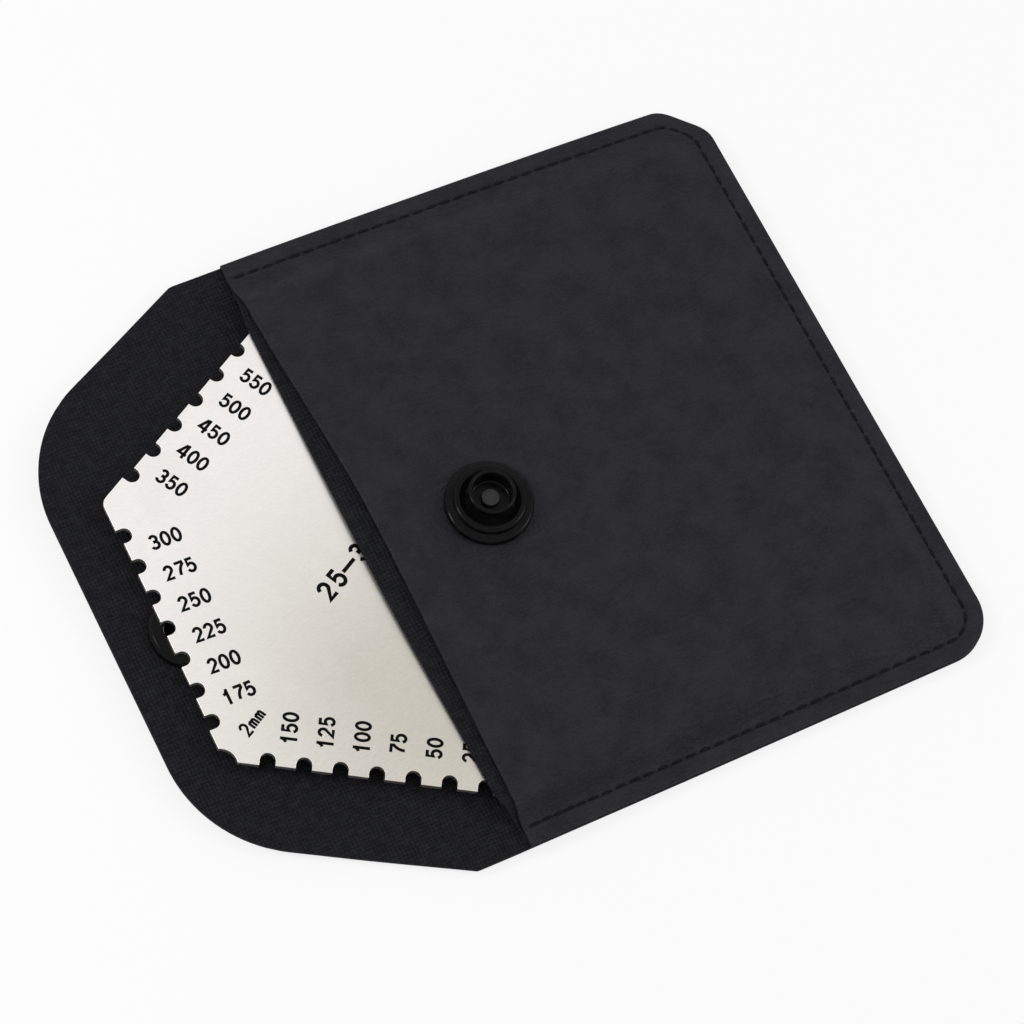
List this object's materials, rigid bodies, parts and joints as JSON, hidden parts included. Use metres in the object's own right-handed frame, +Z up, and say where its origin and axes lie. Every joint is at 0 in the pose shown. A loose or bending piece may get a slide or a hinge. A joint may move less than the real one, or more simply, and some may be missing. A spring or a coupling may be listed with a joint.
{
  "type": "wet film comb in pouch",
  "caption": "Hexagonal stainless wet film comb with notched, stepped edges, lying half drawn out of its snap-fastened leatherette pouch.",
  "frame": {"origin": "middle of the footprint, on the surface that the pouch lies on", "axes": "+X along the pouch from the flap's tip to the closed end, +Y across it, +Z up"},
  "size_m": [0.1046, 0.091, 0.0082],
  "materials": {
    "comb_steel": "satin",
    "leatherette": "fine grain",
    "woven_lining": "coarse weave",
    "thread": "matt",
    "snap_black": "gloss",
    "rivet_metal": "dull",
    "spring_wire": "bright"
  },
  "bodies": {
    "pouch": {"back_panel": "leatherette", "back_lining": "woven_lining", "front_panel": "leatherette", "front_lining": "woven_lining", "needle_thread": "thread", "bobbin_thread": "thread", "stud_washer": "snap_black", "snap_stud": "snap_black", "stud_rivet": "rivet_metal"},
    "comb": {"comb_plate": "comb_steel"},
    "flap": {"flap_panel": "leatherette", "flap_lining": "woven_lining", "snap_cap": "snap_black", "snap_socket": "snap_black", "socket_spring": "spring_wire"}
  },
  "joints": [
    {"name": "comb_slide", "type": "slide", "parent": "pouch", "child": "comb", "axis": [0.9996, 0, -0.027], "range_m": [0, 0.0244]},
    {"name": "flap_fold", "type": "hinge", "parent": "pouch", "child": "flap", "pos_m": [-0.02139, 0, 0.0046], "axis": [0, 1, 0], "range_deg": [0, 179.29], "deforming": ["flap_panel", "flap_lining"]}
  ],
  "couplings": [
    {"joint": "flap_fold", "follows": "comb_slide", "rad_per_m": 128.24}
  ]
}
